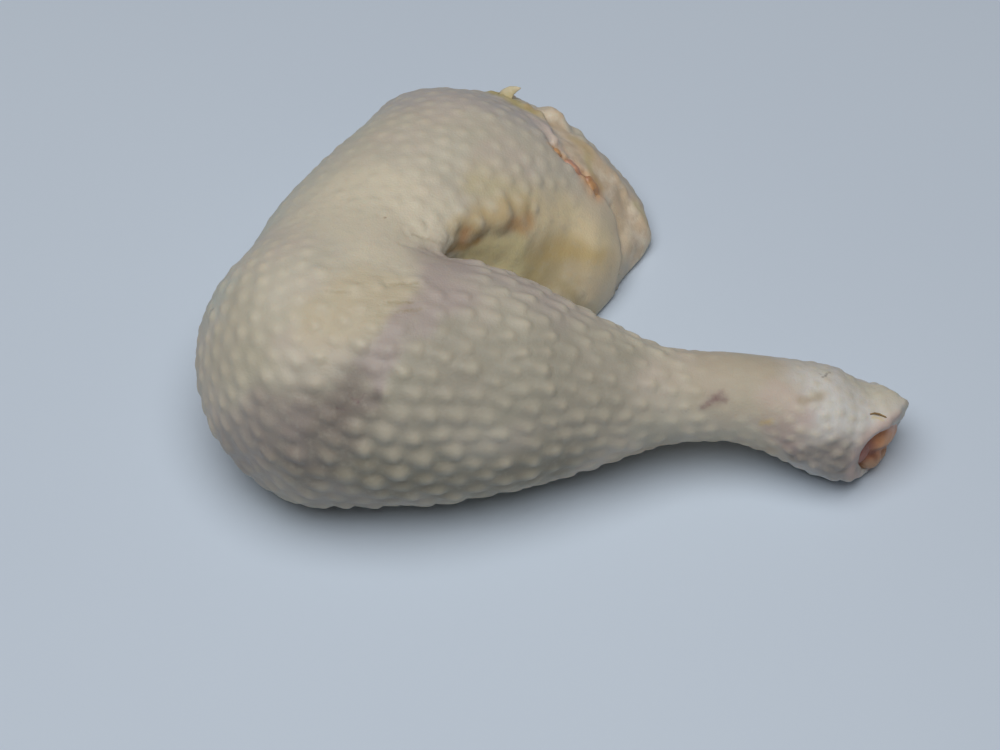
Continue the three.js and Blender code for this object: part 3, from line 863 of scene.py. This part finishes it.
# Colours laid over the knuckles and the meat by zone
KNUCKLE_LAYERS = {
    # pink tissue at the top of the opening, made paler as painted light where the tongue of skin shades it
    "rosy_tip_painted_light": (swatch(240, 202, 184), 0.95),
    "pale": (swatch(224, 168, 120), 0.75),
    "amber": (swatch(192, 120, 76), 0.8),
    # dark red tissue at the lower left of the recess, darkened further as painted shade in the recess
    "recess_red_and_shade": (swatch(150, 90, 78), 0.85),
    "tan": (swatch(178, 144, 114), 0.85),
    "crack": (swatch(116, 72, 58), 0.7),
    "crack_side": (swatch(116, 72, 58), 0.6),
}
MEAT_LAYERS = {
    "rosy_meat": (swatch(190, 144, 126), 0.85),
    "seam": (swatch(150, 108, 82), 0.7),
}
MARK_COLOURS = {
    "vein": swatch(122, 96, 100),
    "bruise": swatch(126, 96, 98),
    "yellow": swatch(206, 182, 116),
    "speck": swatch(120, 84, 60),
    # painted shade in the creases
    "crease": swatch(150, 134, 98),
    "pit": swatch(118, 112, 102),
}

# Finishes: how much light spreads under the surface and how far, in metres, how much the surface shines,
# and its fine grain, by its number of grains in a metre and its depth in metres
LIGHT_SPREAD = (1.0, 0.6, 0.4)
SKIN_FINISH = {"under_light": 0.25, "reach": 0.002, "shine": 0.3, "grains": 1500.0, "depth": 0.00012}
TISSUE_FINISH = {"under_light": 0.15, "reach": 0.001, "shine": 0.4, "grains": 900.0, "depth": 0.0002}
SKIN_DRYNESS = 0.5
# Patches of the skin: their number in a metre, and their contrast
SKIN_PATCHES = {"tone": (70.0, 1.6), "rose": (46.0, 5.0), "brown": (170.0, 6.0), "speck": (420.0, 1.2)}
ROSE_SHARE = 0.3
BROWN_SHARE = 0.45
FOLLICLE_PALENESS = 0.5
SPECK_BASE = 0.5
# Fine wrinkles of the fat: their number in a metre along each axis, and how strongly they show
WRINKLE_STRETCH = (70.0, 520.0, 520.0)
WRINKLE_DETAIL = 2.0
WRINKLE_GAIN = 2.6
# Tissues other than skin: darker and paler colour, number of patches in a metre, dryness, colours by zone
TISSUES = {
    "knuckle_cartilage": (MARROW_RED, CARTILAGE, 260.0, 0.36, KNUCKLE_LAYERS),
    "hip_muscle": (MEAT_DEEP, MEAT_ORANGE, 300.0, 0.36, MEAT_LAYERS),
    "torn_skin": (SHRED_YELLOW, SHRED_PALE, 300.0, 0.45, {}),
    "quill_horn": (QUILL_BROWN, QUILL_TAN, 500.0, 0.4, {}),
}
TISSUE_CONTRAST = 1.8
GRAIN_DETAIL = 3.0
GRAIN_ROUGHNESS = 0.55
# The film of moisture: its patches in a metre, and how much drier or wetter they are
FILM_PATCHES = 260.0
FILM_SPREAD = 0.35
# Marks waver: the number of bends in a metre, and how far they go in metres
MARK_WAVERS = 900.0
MARK_WANDER = 0.0012

# A mix node keeps its colour sockets at these places
MIX_FACTOR = 0
MIX_BASE = 6
MIX_LAYER = 7
MIX_RESULT = 2


def put(tree, kind, **settings):
    """A node of a kind, with its own settings."""
    node = tree.nodes.new(kind)
    for key, value in settings.items():
        setattr(node, key, value)
    return node


def feed(tree, socket, value):
    """Links a socket to another node's output, or sets it to a value."""
    if isinstance(value, bpy.types.NodeSocket):
        tree.links.new(value, socket)
    else:
        socket.default_value = value


def layer_over(tree, base, colour, share):
    """A colour laid over a base by a share."""
    node = put(tree, "ShaderNodeMix", data_type="RGBA")
    feed(tree, node.inputs[MIX_FACTOR], share)
    feed(tree, node.inputs[MIX_BASE], base)
    feed(tree, node.inputs[MIX_LAYER], colour)
    return node.outputs[MIX_RESULT]


def maths(tree, operation, first, second):
    node = put(tree, "ShaderNodeMath", operation=operation)
    feed(tree, node.inputs[0], first)
    feed(tree, node.inputs[1], second)
    return node.outputs[0]


def zone(tree, name, gain):
    """A value kept at the points of the mesh, times a gain."""
    node = put(tree, "ShaderNodeAttribute", attribute_name=name)
    return maths(tree, "MULTIPLY", node.outputs["Fac"], gain)


def new_group(name, inputs, outputs):
    """An empty shader group with its named sockets, for numbers and for places."""
    tree = bpy.data.node_groups.new(name, "ShaderNodeTree")
    for key, value in inputs.items():
        kind = "NodeSocketVector" if isinstance(value, tuple) else "NodeSocketFloat"
        socket = tree.interface.new_socket(name=key, in_out="INPUT", socket_type=kind)
        socket.default_value = value
    for key in outputs:
        tree.interface.new_socket(name=key, in_out="OUTPUT", socket_type="NodeSocketFloat")
    source = put(tree, "NodeGroupInput")
    sink = put(tree, "NodeGroupOutput")
    return tree, source, sink


def grain(tree, count):
    """Noise in the leg's own space, with a number of grains in a metre."""
    coordinates = put(tree, "ShaderNodeTexCoord")
    node = put(tree, "ShaderNodeTexNoise")
    feed(tree, node.inputs["Vector"], coordinates.outputs["Object"])
    feed(tree, node.inputs["Scale"], count)
    feed(tree, node.inputs["Detail"], GRAIN_DETAIL)
    feed(tree, node.inputs["Roughness"], GRAIN_ROUGHNESS)
    return node.outputs["Fac"]


def mottle_group():
    """Soft patches: a value that wavers about the middle over the surface."""
    tree, source, sink = new_group("mottle", {"Scale": 1.0, "Contrast": 1.0}, ["Patches"])
    noise = grain(tree, source.outputs["Scale"])
    centred = maths(tree, "SUBTRACT", noise, MIDDLE)
    spread = maths(tree, "MULTIPLY", centred, source.outputs["Contrast"])
    feed(tree, sink.inputs["Patches"], maths(tree, "ADD", spread, MIDDLE))
    return tree


def moist_group():
    """A moist surface: how rough it is from place to place, and the height of its fine grain."""
    tree, source, sink = new_group("moist", {"Dryness": 1.0, "Grain": 1.0}, ["Roughness", "Height"])
    film = grain(tree, FILM_PATCHES)
    varied = maths(tree, "MULTIPLY", maths(tree, "SUBTRACT", film, MIDDLE), FILM_SPREAD)
    feed(tree, sink.inputs["Roughness"], maths(tree, "ADD", varied, source.outputs["Dryness"]))
    feed(tree, sink.inputs["Height"], grain(tree, source.outputs["Grain"]))
    return tree


def vector_maths(tree, operation, first, second, output="Vector"):
    node = put(tree, "ShaderNodeVectorMath", operation=operation)
    feed(tree, node.inputs[0], first)
    feed(tree, node.inputs["Scale" if operation == "SCALE" else 1], second)
    return node.outputs[output]


def mark_group():
    """A short wavering line on the leg: 1 along its middle, 0 beyond its width."""
    ends = {"Start": (0.0, 0.0, 0.0), "End": (0.0, 0.0, 0.0), "Width": 1.0}
    tree, source, sink = new_group("mark", ends, ["Mask"])
    place = put(tree, "ShaderNodeTexCoord").outputs["Object"]
    wander = put(tree, "ShaderNodeTexNoise")
    feed(tree, wander.inputs["Vector"], place)
    feed(tree, wander.inputs["Scale"], MARK_WAVERS)
    shift = vector_maths(tree, "SUBTRACT", wander.outputs["Color"], (MIDDLE, MIDDLE, MIDDLE))
    place = vector_maths(tree, "ADD", place, vector_maths(tree, "SCALE", shift, MARK_WANDER))
    line = vector_maths(tree, "SUBTRACT", source.outputs["End"], source.outputs["Start"])
    ahead = vector_maths(tree, "SUBTRACT", place, source.outputs["Start"])
    share = maths(
        tree, "DIVIDE",
        vector_maths(tree, "DOT_PRODUCT", ahead, line, "Value"),
        vector_maths(tree, "DOT_PRODUCT", line, line, "Value"),
    )
    held = maths(tree, "MINIMUM", maths(tree, "MAXIMUM", share, 0.0), 1.0)
    gap = vector_maths(tree, "DISTANCE", ahead, vector_maths(tree, "SCALE", line, held), "Value")
    mask = maths(tree, "SUBTRACT", 1.0, maths(tree, "DIVIDE", gap, source.outputs["Width"]))
    feed(tree, sink.inputs["Mask"], maths(tree, "MAXIMUM", mask, 0.0))
    return tree


def use_group(tree, group, **values):
    node = put(tree, "ShaderNodeGroup", node_tree=group)
    for key, value in values.items():
        feed(tree, node.inputs[key], value)
    return node


def patches(tree, mottle, count, contrast):
    """Soft patches over the surface, by their number in a metre and their contrast."""
    return use_group(tree, mottle, Scale=count, Contrast=contrast).outputs["Patches"]


def new_material(name, shine):
    """A material with its nodes and its shader, and how much it shines."""
    material = bpy.data.materials.new(name)
    material.use_nodes = True
    tree = material.node_tree
    shader = tree.nodes["Principled BSDF"]
    shader.inputs["Specular IOR Level"].default_value = shine
    return material, tree, shader


def flesh_material(name, finish):
    """A material of moist tissue, which light enters."""
    material, tree, shader = new_material(name, finish["shine"])
    shader.inputs["Subsurface Weight"].default_value = finish["under_light"]
    shader.inputs["Subsurface Radius"].default_value = LIGHT_SPREAD
    shader.inputs["Subsurface Scale"].default_value = finish["reach"]
    return material, tree, shader


def wet_surface(tree, shader, moist, finish, dryness, relief=None):
    """Gives a shader the moist group's roughness and fine grain, over a further relief if there is one."""
    film = use_group(tree, moist, Dryness=dryness, Grain=finish["grains"])
    height = film.outputs["Height"]
    if relief:
        height = maths(tree, "ADD", height, relief)
    bump = put(tree, "ShaderNodeBump")
    feed(tree, bump.inputs["Distance"], finish["depth"])
    feed(tree, bump.inputs["Height"], height)
    feed(tree, shader.inputs["Roughness"], film.outputs["Roughness"])
    feed(tree, shader.inputs["Normal"], bump.outputs["Normal"])


def painted(tree, colour, layers):
    """A colour with others laid over it by zone, lowest first."""
    for name, (paint, share) in layers.items():
        colour = layer_over(tree, colour, paint, zone(tree, name, share))
    return colour


def blotched(tree, colour, paint, blotches, share):
    """A colour with a paint laid over it in blotches, by a share at most."""
    spread = put(tree, "ShaderNodeClamp")
    feed(tree, spread.inputs["Value"], blotches)
    return layer_over(tree, colour, paint, maths(tree, "MULTIPLY", spread.outputs["Result"], share))


def fat_wrinkles(tree):
    """Fine wrinkles that run along the drumstick, over the fat of the knee."""
    coordinates = put(tree, "ShaderNodeTexCoord")
    stretch = vector_maths(tree, "MULTIPLY", coordinates.outputs["Object"], WRINKLE_STRETCH)
    noise = put(tree, "ShaderNodeTexNoise")
    feed(tree, noise.inputs["Vector"], stretch)
    feed(tree, noise.inputs["Scale"], 1.0)
    feed(tree, noise.inputs["Detail"], WRINKLE_DETAIL)
    return maths(tree, "MULTIPLY", noise.outputs["Fac"], zone(tree, "wrinkled", WRINKLE_GAIN))


def skin_material(mottle, moist, mark):
    material, tree, shader = flesh_material("plucked_skin", SKIN_FINISH)
    kinds = {name: patches(tree, mottle, *kind) for name, kind in SKIN_PATCHES.items()}
    # Paler where the follicles stand high and olive between them: partly the skin's colour, partly painted
    # shade in the valleys
    pale = maths(tree, "ADD", zone(tree, "follicle", FOLLICLE_PALENESS), kinds["tone"])
    colour = layer_over(tree, VALLEY_OLIVE, CREAM, pale)
    colour = blotched(tree, colour, ROSE_TINT, kinds["rose"], ROSE_SHARE)
    colour = painted(tree, colour, SKIN_LAYERS)
    colour = blotched(tree, colour, BLOTCH_BROWN, kinds["brown"], zone(tree, "membrane", BROWN_SHARE))
    for start, end, width, name, share in MARKS:
        ends = {"Start": frame_place(start), "End": frame_place(end), "Width": width * MM}
        mask = use_group(tree, mark, **ends).outputs["Mask"]
        colour = layer_over(tree, colour, MARK_COLOURS[name], maths(tree, "MULTIPLY", mask, share))
    colour = layer_over(tree, VALLEY_OLIVE, colour, maths(tree, "ADD", kinds["speck"], SPECK_BASE))
    feed(tree, shader.inputs["Base Color"], colour)
    wet_surface(tree, shader, moist, SKIN_FINISH, SKIN_DRYNESS, fat_wrinkles(tree))
    return material


def tissue_material(name, mottle, moist):
    """Moist tissue that is mottled between two colours, with further colours laid over it by zone."""
    dark, light, count, dryness, layers = TISSUES[name]
    material, tree, shader = flesh_material(name, TISSUE_FINISH)
    mottled = layer_over(tree, dark, light, patches(tree, mottle, count, TISSUE_CONTRAST))
    feed(tree, shader.inputs["Base Color"], painted(tree, mottled, layers))
    wet_surface(tree, shader, moist, TISSUE_FINISH, dryness)
    return material


# The shank bone: its head in the knee, its foot in the cut, and its stations by place along it and radius
BONE_HEAD = np.array([46.0, 0.0, 29.5])
BONE_FOOT = np.array([179.0, -4.7, 12.2])
BONE_STATIONS = np.array([
    [1, 6],
    [6, 7.5],
    [20, 4.6],
    [52, 3.8],
    [96, 4.2],
    [122, 6.2],
])
# Lobes of the foot of the bone: centre outwards, along and across in the cut's own axes, and half sizes
KNUCKLE_LOBES = {
    "upper": ((-3.0, 1.6, 0.0), (6.4, 6.6, 8.6)),
    "lower": ((-3.6, -6.0, -2.6), (5.7, 4.2, 4.6)),
    "far": ((-3.8, -3.4, -7.0), (5.4, 4.8, 3.8)),
    "near": ((-4.6, -6.4, 4.6), (5.0, 5.4, 5.4)),
}
KNUCKLE_BLEND = 1.0
KNUCKLE_WAVE = 0.14
KNUCKLE_SPAN = 2.6
BONE_CELL = 0.7
BONE_LOW = np.array([38.0, -18.0, -2.0])
BONE_HIGH = np.array([190.0, 10.0, 42.0])


def bone_field(points):
    """The shank bone with the lobes of its knuckles at its foot."""
    line = BONE_FOOT - BONE_HEAD
    length = np.linalg.norm(line)
    axis = line / length
    place = (points - BONE_HEAD) @ axis
    out = np.linalg.norm(points - BONE_HEAD - place[..., None] * axis, axis=-1)
    before = np.maximum(BONE_STATIONS[0, 0] - place, 0)
    beyond = np.maximum(place - length, 0)
    shaft = np.hypot(np.hypot(out, before), beyond) - along(BONE_STATIONS, 1, place)
    offsets = (points - CUT_POINT) @ cut_frame().T
    for centre, half_sizes in KNUCKLE_LOBES.values():
        knuckle = oval_distance(np.moveaxis(offsets - np.array(centre), -1, 0), half_sizes)
        shaft = join(shaft, knuckle, KNUCKLE_BLEND)
    return shaft + KNUCKLE_WAVE * waves(points, KNUCKLE_SPAN, KNUCKLE_SEED)


# Colour zones of the knuckles in the cut
KNUCKLE_ZONES = {
    # Pink tissue at the top of the opening, made paler as painted light where the tongue of skin shades it
    "rosy_tip_painted_light": ([(187.2, -1.6, 15, 2.6), (185.2, -5.7, 16.6, 2.8)], 0.6),
    "pale": ([(181.8, -10, 13.6, 1.8), (183.2, -9.5, 14, 2.2), (185.6, -6.4, 11, 2.6)], 0.7),
    "amber": ([(187.6, 0, 5.4, 2.6), (186, -2.2, 3, 2.4)], 0.7),
    # Dark red tissue at the lower left of the recess, darkened further as painted shade in the recess
    "recess_red_and_shade": ([(175.6, -15, 15, 4), (177, -13.6, 12, 4.4), (177.6, -13, 9.4, 2)], 0.5),
    "tan": ([
        (178.6, -12.8, 6.6, 2.4), (180.2, -12.2, 8, 2.2), (182, -11.6, 6.6, 3.4), (184, -8, 4, 3.4),
    ], 0.6),
    "crack": ([
        (179.4, -10.6, 10.3, 0.8), (181.3, -10.6, 11.4, 1.1), (183, -9.7, 11.2, 1.2), (185, -6, 8, 1),
    ], 0.7),
    "crack_side": ([(180.4, -10.8, 10.3, 0.8), (181.3, -11.2, 9.3, 0.9), (181.6, -11.9, 8.2, 0.7)], 0.7),
}


def shank_bone(material):
    points, quads = surface_net(bone_field, BONE_LOW, BONE_HIGH, BONE_CELL)
    return mesh_piece("shank_knuckles", points, quads, zone_shares(points, KNUCKLE_ZONES), material)


# Strands of meat in the slit at the hip: the knots of each, with the radius there
MEAT_STRANDS = [
    [(94.6, 77.4, 37.4, 0.8), (95.4, 76.2, 37.0, 1.5), (96.4, 75.8, 36.2, 0.8)],
    [(98.5, 75.2, 33.8, 0.7), (99.7, 74.7, 32.8, 1.6), (100.7, 74.3, 31.8, 2.0), (101.9, 73.7, 30.6, 1.4)],
    [(103.3, 73.3, 29.7, 1.3), (104.5, 72.7, 28.4, 2.1), (105.7, 71.7, 27.1, 2.3), (106.6, 70.6, 25.9, 1.2)],
]
MEAT_WAVE = 0.25
MEAT_SPAN = 1.4
MEAT_CELL = 0.35
MEAT_LOW = np.array([92.0, 66.0, 21.0])
MEAT_HIGH = np.array([112.0, 82.0, 40.0])
MEAT_ZONES = {
    "rosy_meat": ([(98.5, 75, 35, 2), (101.6, 74, 33, 2.6), (103, 73.4, 31.4, 2.0)], 0.6),
    "seam": ([(103.8, 73.4, 31.2, 0.9), (104.6, 72.6, 29.6, 1.0)], 0.7),
}


def meat_field(points):
    """Strands of muscle that swell and narrow along their lines."""
    gaps = []
    for strand in MEAT_STRANDS:
        for start, end in zip(strand[:-1], strand[1:]):
            share, gap = segment(points, start[:3], end[:3])
            gaps.append(gap - start[3] - share * (end[3] - start[3]))
    return np.min(gaps, axis=0) + MEAT_WAVE * waves(points, MEAT_SPAN, MEAT_SEED)


def hip_meat(material):
    points, quads = surface_net(meat_field, MEAT_LOW, MEAT_HIGH, MEAT_CELL)
    return mesh_piece("hip_meat", points, quads, zone_shares(points, MEAT_ZONES), material)


# Shreds: the line of each, its half width and half thickness along it, and the side that it is wide to
SKIN_TAG = {
    "line": [(81.2, 103, 32.4), (82.2, 103.6, 33.8), (83.4, 104, 34.8), (84.8, 104, 35.4), (86, 103.8, 35.9)],
    "half_width": [2.4, 2.0, 1.4, 0.8, 0.2],
    "half_thickness": [0.6, 0.45, 0.35, 0.25, 0.1],
    "side": (1.0, -0.4, 0.1),
}
QUILL = {
    "line": [(177.8, -9, 24.6), (179, -8.8, 24.8), (180.2, -9, 24.7), (181.8, -9.6, 24.2), (183, -9.9, 23.3)],
    "half_width": [0.16, 0.26, 0.26, 0.22, 0.12],
    "half_thickness": [0.16, 0.26, 0.26, 0.22, 0.12],
    "side": (0.0, 1.0, 0.2),
}
SHRED_SIDES = 12


def shred(name, shape, material):
    """A tapered strip of oval section along a line."""
    line = np.array(shape["line"], float)
    ahead = unit(np.gradient(line, axis=0))
    side = np.array(shape["side"], float)
    side = unit(side - (ahead @ side)[:, None] * ahead)
    up = np.cross(ahead, side)
    angles = np.linspace(0, 2 * np.pi, SHRED_SIDES, endpoint=False)
    wide = np.array(shape["half_width"])[:, None, None] * side[:, None] * np.cos(angles)[None, :, None]
    thick = np.array(shape["half_thickness"])[:, None, None] * up[:, None] * np.sin(angles)[None, :, None]
    points = (line[:, None] + wide + thick).reshape(-1, 3)
    turn = np.arange(SHRED_SIDES)
    after = (turn + 1) % SHRED_SIDES
    faces = []
    for ring in range(len(line) - 1):
        low = ring * SHRED_SIDES
        high = low + SHRED_SIDES
        faces += np.stack([low + turn, low + after, high + after, high + turn], axis=1).tolist()
    faces.append(turn[::-1].tolist())
    faces.append((turn + len(points) - SHRED_SIDES).tolist())
    return mesh_piece(name, points, faces, {}, material)


# The table: half its side in metres, and its patches' number in a metre and contrast
TABLE_HALF = 3.0
TABLE_PATCHES = (4.0, 1.5)
TABLE_ROUGHNESS = 0.6
TABLE_SHINE = 0.2


def table_material(mottle):
    material, tree, shader = new_material("pale_table", TABLE_SHINE)
    colour = layer_over(tree, TABLE_GREY, TABLE_BLUE, patches(tree, mottle, *TABLE_PATCHES))
    feed(tree, shader.inputs["Base Color"], colour)
    feed(tree, shader.inputs["Roughness"], TABLE_ROUGHNESS)
    return material


def table(material):
    mesh = bpy.data.meshes.new("table")
    corners = [(x * TABLE_HALF, y * TABLE_HALF, 0) for x, y in ((-1, -1), (1, -1), (1, 1), (-1, 1))]
    mesh.from_pydata(corners, [], [(0, 1, 2, 3)])
    mesh.materials.append(material)
    return placed("table", mesh)


CAMERA_TARGET = np.array([80.0, 0.0, 30.0])
CAMERA_ELEVATION = np.radians(50)
CAMERA_DISTANCE = 650
CAMERA_LENS = 88.3
CAMERA_NEAR = 0.01


def camera():
    data = bpy.data.cameras.new("camera")
    data.lens = CAMERA_LENS
    data.clip_start = CAMERA_NEAR
    eye = placed("camera", data)
    back = np.array([0, -np.cos(CAMERA_ELEVATION), np.sin(CAMERA_ELEVATION)])
    eye.location = to_frame(CAMERA_TARGET + CAMERA_DISTANCE * back).tolist()
    eye.rotation_euler = (np.pi / 2 - CAMERA_ELEVATION, 0, 0)
    bpy.context.scene.camera = eye


# A broad soft light over the leg, in metres and watts, and weak warm light from all round
SOFTBOX_PLACE = Vector((-0.12, -0.28, 1.3))
SOFTBOX_TARGET = Vector((0.0, 0.0, 0.03))
SOFTBOX_SIZE = 1.3
SOFTBOX_POWER = 16.0
AIR_COLOUR = (1.0, 0.62, 0.4, 1.0)
AIR_STRENGTH = 0.04


def softbox():
    data = bpy.data.lights.new("softbox", "AREA")
    data.shape = "DISK"
    data.size = SOFTBOX_SIZE
    data.energy = SOFTBOX_POWER
    lamp = placed("softbox", data)
    lamp.location = SOFTBOX_PLACE
    lamp.rotation_euler = (SOFTBOX_TARGET - SOFTBOX_PLACE).to_track_quat("-Z", "Y").to_euler()


def room():
    world = bpy.data.worlds.new("room")
    world.use_nodes = True
    air = world.node_tree.nodes["Background"]
    air.inputs["Color"].default_value = AIR_COLOUR
    air.inputs["Strength"].default_value = AIR_STRENGTH
    bpy.context.scene.world = world
    bpy.context.scene.view_settings.view_transform = "Standard"


def own(piece, node):
    """The piece rides on the leg and stands for a solid."""
    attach(piece, "root")
    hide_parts(node)


camera()
softbox()
room()
mottle = mottle_group()
moist = moist_group()
table(table_material(mottle))
skin = skin_material(mottle, moist, mark_group())
tissues = {name: tissue_material(name, mottle, moist) for name in TISSUES}
own(leg_skin(skin), "leg")
own(hip_meat(tissues["hip_muscle"]), "leg")
own(shred("skin_tag", SKIN_TAG, tissues["torn_skin"]), "leg")
own(shred("quill", QUILL, tissues["quill_horn"]), "leg")
own(shank_bone(tissues["knuckle_cartilage"]), "shank_bone")
